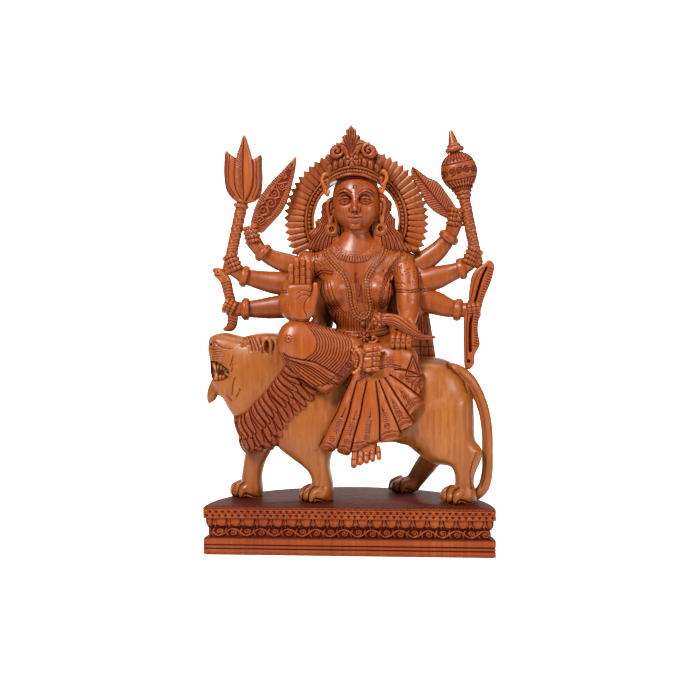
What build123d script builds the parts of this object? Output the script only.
"""A carved wooden figurine: an eight-armed rider on a standing lion, on a half-round plinth.

Millimetres, +Z up, the front faces -Y. The origin is the middle of the plinth's underside.
Every carved element is its own solid. Each one is cut back to the faces of the elements placed
before it, so that neighbours meet face to face.
"""

import os

from build123d import *

# ---------------------------------------------------------------- driving dimensions
HEIGHT = 304.8  # felt to the tip of the crown
PLINTH_HALF_WIDTH = 103.2
PLINTH_DEPTH = 80.0
FRONT = -PLINTH_DEPTH / 2
FELT = 1.0
FOOT_TOP = 12.2
FRIEZE_TOP = 19.5
PETALS_TOP = 26.5
DECK = 34.5  # top of the plinth, where the paws stand

HALO_CENTRE = (3.5, 239.0)
HALO_RADIUS = 53.5
HALO_RING = (31.0, 37.5)
HALO_BACK, HALO_FRONT = 12.0, 5.0
RAYS = 56

BANGLE_WIDTH = 3.4
BANGLE_PROUD = 1.9

nodes = {}  # every finished piece, by name
placed = []  # every solid so far, with its bounding box


# ---------------------------------------------------------------- ways to make a solid
def bar(stations):
    """A round bar lofted through (x, y, z, radius) stations, each section square to the path."""
    points = [Vector(*station[:3]) for station in stations]
    with BuildPart() as made:
        for index, (_, _, _, radius) in enumerate(stations):
            before = points[max(index - 1, 0)]
            after = points[min(index + 1, len(points) - 1)]
            with BuildSketch(Plane(origin=points[index], z_dir=after - before)):
                Circle(radius)
        loft()
    return made.part


def along_x(sections):
    """A body lofted through (x, y, z, half depth, half height) ellipses that face along X."""
    with BuildPart() as made:
        for x, y, z, half_y, half_z in sections:
            with BuildSketch(Plane(origin=(x, y, z), x_dir=(0, 1, 0), z_dir=(1, 0, 0))):
                Ellipse(half_y, half_z)
        loft()
    return made.part


def along_z(sections):
    """A body lofted through (z, x, y, half width, half depth) ellipses that face up."""
    with BuildPart() as made:
        for z, x, y, half_x, half_y in sections:
            with BuildSketch(Plane.XY.offset(z)):
                with Locations((x, y)):
                    Ellipse(half_x, half_y)
        loft()
    return made.part


def panel(outline, front, back, bevel=0.0):
    """An XZ outline made solid from y = front to y = back, with both faces bevelled."""
    with BuildPart() as made:
        with BuildSketch(Plane.XZ.offset(-back)):
            with BuildLine():
                Polyline(*outline, close=True)
            make_face()
        extrude(amount=back - front)
        if bevel:
            rims = made.faces().sort_by(Axis.Y)
            chamfer([*rims[0].edges(), *rims[-1].edges()], length=bevel)
    return made.part


def leg(limb, paw_low, paw_high):
    """A limb's solid joined to a rounded paw that fills the box from paw_low to paw_high."""
    size = [high - low for low, high in zip(paw_low, paw_high)]
    middle = tuple((high + low) / 2 for low, high in zip(paw_low, paw_high))
    with BuildPart() as made:
        with Locations(middle):
            Box(*size)
        fillet(made.edges().filter_by(Axis.Z), radius=5)
        fillet(made.faces().sort_by(Axis.Z)[-1].edges(), radius=3)
        add(limb)
    return made.part


def turned(foot, tip, outline):
    """An outline of (distance along, radius) revolved about the line from foot to tip."""
    axis_plane = Plane(origin=foot, z_dir=Vector(*tip) - Vector(*foot))
    with BuildPart() as made:
        with BuildSketch(Plane.XZ):
            with BuildLine():
                Polyline((0, outline[0][0]), *[(r, s) for s, r in outline], (0, outline[-1][0]), close=True)
            make_face()
        revolve(axis=Axis.Z)
    return axis_plane.location * made.part


def ring(centre, normal, outer, wire):
    """A round ring about centre, lying square to normal."""
    with BuildPart() as made:
        Torus(outer, wire)
    return Plane(origin=centre, z_dir=normal).location * made.part


def band(centre, normal, radius, width):
    """A round-edged disc about centre, lying square to normal."""
    with BuildPart() as made:
        Cylinder(radius, width)
        fillet(made.edges().filter_by(GeomType.CIRCLE), radius=width / 4)
    return Plane(origin=centre, z_dir=normal).location * made.part


def place(name, *shapes):
    """Cuts each shape back to what is already placed, keeps its main solid, and stores the node."""
    kept = []
    for shape in shapes:
        box = shape.bounding_box()
        with BuildPart() as seated:
            add(shape)
            for solid, solid_box in placed:
                if boxes_meet(box, solid_box):
                    add(solid, mode=Mode.SUBTRACT)
        solid = seated.part.solids().sort_by(SortBy.VOLUME)[-1]
        placed.append((solid, solid.bounding_box()))
        kept.append(solid)
    node = kept[0] if len(kept) == 1 else Compound(kept)
    node.label = name
    nodes[name] = node


def boxes_meet(a, b):
    """True where two bounding boxes share some space."""
    lows = zip(tuple(a.min), tuple(b.max))
    highs = zip(tuple(b.min), tuple(a.max))
    return all(low < high for low, high in [*lows, *highs])


# ---------------------------------------------------------------- plinth
def half_round(inset):
    """The plinth's plan: a straight front edge and a half-ellipse behind it."""
    with BuildSketch() as plan:
        with Locations((0, FRONT + inset)):
            Ellipse(PLINTH_HALF_WIDTH - inset, PLINTH_DEPTH - 2 * inset)
            Rectangle(
                2 * PLINTH_HALF_WIDTH,
                PLINTH_DEPTH,
                align=(Align.CENTER, Align.MIN),
                mode=Mode.INTERSECT,
            )
    return plan.sketch


def tier(inset, low, high, bevel=0.0, grooves=()):
    """One moulding of the plinth, with its upper edge bevelled and level grooves run round it."""
    groove_depth, groove_height = 0.6, 0.6
    with BuildPart() as made:
        with BuildSketch(Plane.XY.offset(low)):
            add(half_round(inset))
        extrude(amount=high - low)
        if bevel:
            chamfer(made.faces().sort_by(Axis.Z)[-1].edges(), length=bevel)
        for height in grooves:
            with BuildSketch(Plane.XY.offset(height)):
                add(half_round(inset))
                add(half_round(inset + groove_depth), mode=Mode.SUBTRACT)
            extrude(amount=groove_height, mode=Mode.SUBTRACT)
    return made.part


place("felt_pad", tier(1.5, 0, FELT))
place("plinth_foot", tier(0, FELT, FOOT_TOP, bevel=2.2, grooves=(5.0, 7.4)))
place("plinth_frieze", tier(4.6, FOOT_TOP, FRIEZE_TOP))
place("plinth_petal_band", tier(1.8, FRIEZE_TOP, PETALS_TOP))
place("plinth_deck", tier(0, PETALS_TOP, DECK, bevel=0.8))

# ---------------------------------------------------------------- lion
place(
    "lion_body",
    along_x(
        [
            (-58, -1, 97, 11, 15),
            (-40, -1, 99, 19, 24),
            (-10, -1, 103, 21.5, 31),
            (25, -1, 104.5, 21, 32),
            (58, -1, 104, 21.5, 33.5),
            (76, -1, 106, 17.5, 26),
            (87, -1, 108, 9, 13),
        ]
    ),
)
place(
    "lion_near_front_leg",
    leg(
        panel(
            [
                (-52, 90),
                (-53, 77),
                (-41, 66),
                (-32, 58),
                (-28, 50),
                (-28, 38),
                (-13.5, 38),
                (-13.5, 50),
                (-15.5, 62),
                (-13, 76),
                (-13, 90),
            ],
            -23,
            -6,
            bevel=1.5,
        ),
        (-38, -27, DECK),
        (-12.5, -8, 43.5),
    ),
)
place(
    "lion_far_front_leg",
    leg(
        bar([(-64, 3, 86, 10.5), (-67, 2, 70, 9.5), (-73, -1, 56, 7.5), (-74, -2, 40, 7.2)]),
        (-91, -11, DECK),
        (-66, 5, 43.5),
    ),
)
place(
    "lion_near_hind_leg",
    leg(
        panel(
            [
                (48, 100),
                (46, 78),
                (55, 67),
                (71, 61.5),
                (75.5, 58),
                (75, 38),
                (90, 38),
                (88.5, 50),
                (94, 66),
                (93.5, 74),
                (86.5, 82),
                (84, 100),
            ],
            -24,
            -6,
            bevel=1.5,
        ),
        (64.5, -27, DECK),
        (91, -8, 44),
    ),
)
place(
    "lion_far_hind_leg",
    leg(
        bar([(68, 8, 76, 10), (60, 13, 62, 8.6), (50, 18, 49, 6.8), (44, 20, 40, 6.2)]),
        (27, 12, DECK),
        (51, 28, 43),
    ),
)
place(
    "lion_head",
    panel(
        [
            (-98, 155),
            (-74, 152.5),
            (-68, 156),
            (-50, 156),
            (-42, 145),
            (-50, 125),
            (-68, 104),
            (-82, 95),
            (-90, 103),
            (-95, 112),
            (-93, 122),
            (-88, 128),
            (-98, 136),
            (-101, 148),
        ],
        -25,
        13,
        bevel=2.5,
    ),
    bar([(-58, -22, 141, 2.5), (-58.5, -25, 147, 4), (-58, -25, 154, 2.5)]),
    bar([(-58, 10, 148, 2.5), (-58, 13, 153, 4), (-58, 13, 158, 2.5)]),
)
place("lion_tongue", bar([(-90, -8, 125, 4), (-97, -8, 121, 4), (-99, -8, 114, 3.6), (-100, -8, 106, 2)]))
place(
    "lion_mane",
    panel(
        [
            (-44, 146),
            (-50, 126),
            (-66, 109),
            (-83, 95),
            (-80, 76),
            (-74, 71),
            (-55, 75),
            (-46, 85),
            (-31, 99),
            (-20, 119),
            (-28, 134),
        ],
        -26,
        15,
        bevel=3,
    ),
)
TAIL = [
    (72, -6, 131, 4.5),
    (84, -7, 123, 4.6),
    (93, -8, 110, 4.3),
    (98, -9, 93, 4.2),
    (98.8, -9, 75, 4.2),
    (98.6, -10, 57, 4.2),
    (95.5, -11, 44, 4.2),
    (89, -10, 38.9, 4.0),
]
place("lion_tail", bar(TAIL))

# ---------------------------------------------------------------- rider: body
place(
    "torso",
    along_z(
        [
            (152, 5.5, -2, 18, 11),
            (163, 6.5, -3, 16.5, 10),
            (176, 4, -4, 22, 13.5),
            (187, 4, -4.5, 24, 15),
            (200, 3, -1, 30, 12.5),
            (210, 3, 0, 33, 11),
            (217, 3.5, 0, 24, 9.5),
            (221, 4, -1, 12, 9),
        ]
    ),
)
place("hips", along_z([(131, 10, -3, 32, 16), (142, 8, -3, 29, 15), (152, 5.5, -2, 18, 11)]))
place(
    "head",
    along_z(
        [
            (219, 4, -3, 9, 8.5),
            (227, 4, -5, 9, 9),
            (232, 4.4, -7, 11.5, 11.5),
            (239, 4.4, -6, 15.8, 14.5),
            (249, 4.4, -5, 17.8, 16.5),
            (259, 4.4, -4.5, 18, 16.5),
            (268, 4.4, -4, 17, 16),
        ]
    ),
)
place(
    "crown",
    along_z([(268, 4.4, -4, 19.5, 17.5), (280, 4.4, -4, 20.5, 17), (289, 4.4, -4, 12, 11), (293, 4.4, -4, 5, 5)]),
)
place(
    "crown_ornaments",
    panel([(-7, 284), (-6.5, 294), (0.5, HEIGHT), (2.5, HEIGHT), (9.5, 294), (11, 284)], -19, -7),
    bar([(-15.5, -6, 270, 2.6), (-18.5, -6, 264, 2.6), (-19, -6, 257, 1.8)]),
    bar([(24.5, -6, 273, 2.6), (28, -6, 266, 2.6), (26, -6, 259, 1.8)]),
)
place(
    "hair",
    panel([(-13, 252), (-17, 248), (-19, 240), (-29.8, 228), (-27, 221), (-9, 221), (-9, 232)], -5, 6),
    panel([(22, 256), (26, 250), (27, 243), (33, 234), (37.4, 224), (46, 218.5), (20, 221), (17, 231)], -5, 6),
)
place(
    "ears_and_earrings",
    panel([(-13, 252), (-15.5, 253), (-17, 247), (-14, 236.5), (-12, 236.5)], -7, -2),
    panel([(22, 252), (24.5, 253), (26, 247), (23, 236.5), (21, 236.5)], -7, -2),
    ring((-15, -7, 231), (0, 1, 0), 3.0, 1.4),
    ring((24, -7, 231), (0, 1, 0), 3.0, 1.4),
)
place("collar_necklace", ring((4, -3, 220), (0, -0.42, 1), 13.5, 2.4))
place(
    "long_necklace",
    bar([(-13, -9.2, 213, 2.2), (-8, -13.6, 202, 2.2), (-2, -20, 188, 2.2), (0, -18.8, 176, 2.2), (3.5, -16.8, 169, 2.2)]),
    bar([(22, -9.2, 213, 2.2), (17, -13.6, 202, 2.2), (11.5, -20, 188, 2.2), (10.5, -18.8, 176, 2.2), (7, -16.8, 169, 2.2)]),
)
place(
    "shoulder_sash",
    bar(
        [
            (33, -10, 212, 2.6),
            (29, -16, 198, 2.6),
            (23, -19, 184, 2.6),
            (18, -14, 170, 2.6),
            (14, -14, 157, 2.6),
        ]
    ),
)
place("belt", along_z([(148, 5.5, -2.5, 21.5, 13.5), (155, 5.5, -2.5, 19.2, 12.3)]))

# ---------------------------------------------------------------- rider: legs and dress
place(
    "folded_leg",
    panel(
        [
            (-49, 157),
            (-45, 165),
            (-34, 168),
            (-14, 162),
            (4, 154),
            (9, 148),
            (6, 133),
            (-5, 122),
            (-13.5, 117),
            (-22, 120),
            (-36, 131),
            (-46.5, 142),
        ],
        -36,
        -12,
        bevel=3.5,
    ),
)
place(
    "skirt",
    panel(
        [
            (-22, 77),
            (-12, 75),
            (2.5, 72.5),
            (15, 76),
            (35, 82),
            (46, 94),
            (50, 111),
            (45, 122),
            (49, 132),
            (44, 143),
            (30, 149),
            (12, 143),
            (-3, 120),
        ],
        -36,
        -15,
        bevel=2.5,
    ),
)
place(
    "feet",
    bar([(6, -30, 139, 6.5), (13, -31, 138, 7.5), (19, -31, 139, 6.5), (23, -31, 141, 3)]),
    bar([(12, -27, 80, 8), (12, -28, 70, 8), (13, -30, 61, 7.5), (13, -31, 57.5, 5)]),
)
place("back_drape", panel([(36, 172), (57.5, 170), (62, 134), (36, 134)], 6, 11))

# ---------------------------------------------------------------- rider: front arms
place("right_upper_arm", bar([(-31, -2, 208, 8.5), (-35, -7, 192, 8), (-37, -12, 177, 7.5)]))
place("right_forearm", bar([(-38, -13, 172, 6.5), (-35, -22, 171, 6), (-32, -29, 171, 5.5)]))
place(
    "right_hand",
    panel(
        [
            (-38, 168),
            (-25, 168),
            (-20.5, 180),
            (-21.5, 193),
            (-24, 193),
            (-25, 188),
            (-26, 205),
            (-31, 210),
            (-39, 206),
            (-41, 203),
            (-41, 180),
        ],
        -35,
        -28,
        bevel=0.8,
    ),
)
place("left_upper_arm", bar([(39, -3, 209, 8.5), (40.5, -7, 190, 8.3), (41.5, -10, 172, 7.6)]))
place("left_forearm", bar([(42, -12, 170, 6.5), (40, -20, 163, 5.6), (38, -27, 158, 5)]))
place("conch", bar([(22, -31, 167, 2.5), (28, -31, 165.5, 5.5), (38, -30, 162, 7), (50, -29, 156.5, 4.5), (60, -28, 154.5, 1.5)]))
place("left_hand", bar([(38, -28, 158, 5.5), (37, -32, 152, 6.8), (36, -32, 147, 5)]))

# ---------------------------------------------------------------- rider: rear arms and what they hold
place(
    "rear_shoulders",
    along_z([(168, -39, 5, 8, 6), (180, -41, 5, 9.5, 7), (195, -40, 5, 10.5, 7.5), (208, -36, 5, 9, 7), (214, -33, 5, 5, 5)]),
    along_z([(168, 46, 5, 9, 6), (180, 49, 5, 10, 7), (195, 49, 5, 10, 7.5), (208, 45, 5, 9, 7), (215, 42, 5, 5, 5)]),
)

LEFT_ARMS = {
    "upper": [(-40, 5, 204.5, 7.4), (-52, 4, 207, 6.8), (-65, 2, 214.5, 4.4)],
    "middle": [(-42, 5, 190.5, 8.6), (-58, 4, 193, 7.6), (-78, 1, 197.5, 5)],
    "lower": [(-42, 5, 176.5, 8.2), (-58, 4, 176, 7.4), (-78, 1, 173.5, 5.4)],
}
RIGHT_ARMS = {
    "upper": [(47, 5, 204, 7.6), (58, 4, 211, 7), (71.5, 2, 226.5, 4.6)],
    "middle": [(52, 5, 194, 8.6), (64, 4, 197.5, 7.6), (80, 1, 202.5, 5)],
    "lower": [(50, 5, 180, 8.6), (63, 4, 177, 7.6), (78, 1, 172, 5.2)],
}
LEFT_HANDS = {
    "upper": [(-65, 2, 214.5, 4.6), (-70, 0, 223, 6.2), (-73, -1, 234, 4.6)],
    "middle": [(-78, 1, 197.5, 5), (-84, -1, 203, 6.6), (-88, -2, 213, 5)],
    "lower": [(-78, 1, 173.5, 5), (-86, -1, 175, 6.4), (-94, -2, 178, 5)],
}
RIGHT_HANDS = {
    "upper": [(71.5, 2, 226.5, 4.6), (74, 0, 235, 6.4), (76, -1, 244, 5)],
    "middle": [(80, 1, 202.5, 5), (86, -1, 207, 6.4), (91, -2, 215, 5)],
    "lower": [(78, 1, 172, 5), (86, -1, 172.5, 6.2), (92, -2, 174, 5)],
}

# what the left arms hold
TRIDENT_FOOT, TRIDENT_TIP = (-90.5, -1, 202), (-78.6, -1, 256)
place("trident_shaft", turned(TRIDENT_FOOT, TRIDENT_TIP, [(0, 4.2), (48, 4.8), (48.5, 6), (53, 6)]))
place(
    "trident_head",
    panel(
        [
            (-83, 254),
            (-90, 262),
            (-92.5, 272),
            (-90.5, 290),
            (-84, 282),
            (-77.5, 300),
            (-75.5, 300),
            (-71, 282),
            (-65, 286),
            (-64, 270),
            (-68, 259),
            (-76, 254),
        ],
        -6,
        4,
        bevel=1.2,
    ),
)
place(
    "sword",
    panel(
        [
            (-73, 232),
            (-68, 254),
            (-57, 266),
            (-40.5, 285.5),
            (-39.5, 285.5),
            (-41, 270),
            (-45, 256),
            (-52, 245),
            (-65, 230),
        ],
        -3,
        3,
    ),
)
place(
    "serpent",
    bar(
        [
            (-101, 0, 200.5, 1),
            (-96, 0, 198.5, 3),
            (-91.5, 0, 189, 4.4),
            (-88.5, 0, 177, 4.6),
            (-86.5, 0, 168, 4.4),
            (-89, 0, 160.5, 3.6),
            (-94, 0, 159, 2.8),
        ]
    ),
)

# what the right arms hold
MACE_FOOT, MACE_TIP = (92, -1, 204), (73, -1, 300.5)
place(
    "mace_shaft",
    turned(MACE_FOOT, MACE_TIP, [(0, 4.4), (20, 4.6), (50, 5.6), (50.5, 7.2), (55.5, 7.2)]),
)
place(
    "mace_head",
    turned(
        MACE_FOOT,
        MACE_TIP,
        [(55.5, 7), (60, 11.5), (66, 13.6), (73, 14), (80, 12), (84.5, 7.5), (86, 7.5), (88, 5), (98.2, 2.4)],
    ),
)
place(
    "dagger",
    panel(
        [(70, 240), (76, 246), (72, 258), (60, 268), (44.5, 277), (43.5, 276), (48, 264), (55, 253)],
        -3,
        3,
    ),
)
place(
    "bow",
    bar(
        [
            (97, -2, 206, 3),
            (99.5, -2, 199, 3),
            (98, -2, 189, 3),
            (93, -2, 179, 2.6),
            (91.5, -2, 170, 2.6),
            (93, -2, 160, 2.6),
            (92.5, -2, 150, 2.4),
            (88, -2, 140, 2.2),
            (84, -2, 134, 2),
        ]
    ),
    bar(
        [
            (93, -2, 205.5, 1.6),
            (87, -2, 194, 1.6),
            (86, -2, 184, 1.6),
            (87.5, -2, 176, 1.6),
            (84.5, -2, 166, 1.6),
            (83.5, -2, 152, 1.6),
            (83.5, -2, 141, 1.6),
        ]
    ),
)

bangles = []
for side, arms, hands in (("left", LEFT_ARMS, LEFT_HANDS), ("right", RIGHT_ARMS, RIGHT_HANDS)):
    for level, stations in arms.items():
        place(f"{level}_{side}_arm", bar(stations))
        place(f"{level}_{side}_hand", bar(hands[level]))
        wrist, before = Vector(*stations[-1][:3]), Vector(*stations[-2][:3])
        bangles.append(band(wrist, wrist - before, stations[-1][3] + BANGLE_PROUD, BANGLE_WIDTH))
place("bangles", *bangles)


# ---------------------------------------------------------------- halo
with BuildPart() as halo_ring:
    with BuildSketch(Plane.XZ.offset(-HALO_BACK)):
        with Locations(HALO_CENTRE):
            Circle(HALO_RING[1])
            Circle(HALO_RING[0], mode=Mode.SUBTRACT)
    extrude(amount=HALO_BACK - HALO_FRONT + 1)
place("halo_ring", halo_ring.part)

ray_width = 2 * 3.1416 * HALO_RADIUS / RAYS
with BuildPart() as halo_rays:
    with BuildSketch(Plane.XZ.offset(-HALO_BACK)):
        with Locations(HALO_CENTRE):
            Circle(HALO_RADIUS - ray_width / 2)
            with PolarLocations(HALO_RADIUS - ray_width / 2, RAYS):
                Circle(ray_width / 2)
            Circle(HALO_RING[1], mode=Mode.SUBTRACT)
        with Locations((HALO_CENTRE[0], HALO_CENTRE[1] - HALO_RADIUS)):
            Rectangle(2.4 * HALO_RADIUS, 56, mode=Mode.SUBTRACT)
    extrude(amount=HALO_BACK - HALO_FRONT)
place("halo_rays", halo_rays.part)

# ---------------------------------------------------------------- files
os.makedirs("parts", exist_ok=True)
for name, node in nodes.items():
    export_step(node, f"parts/{name}.step")
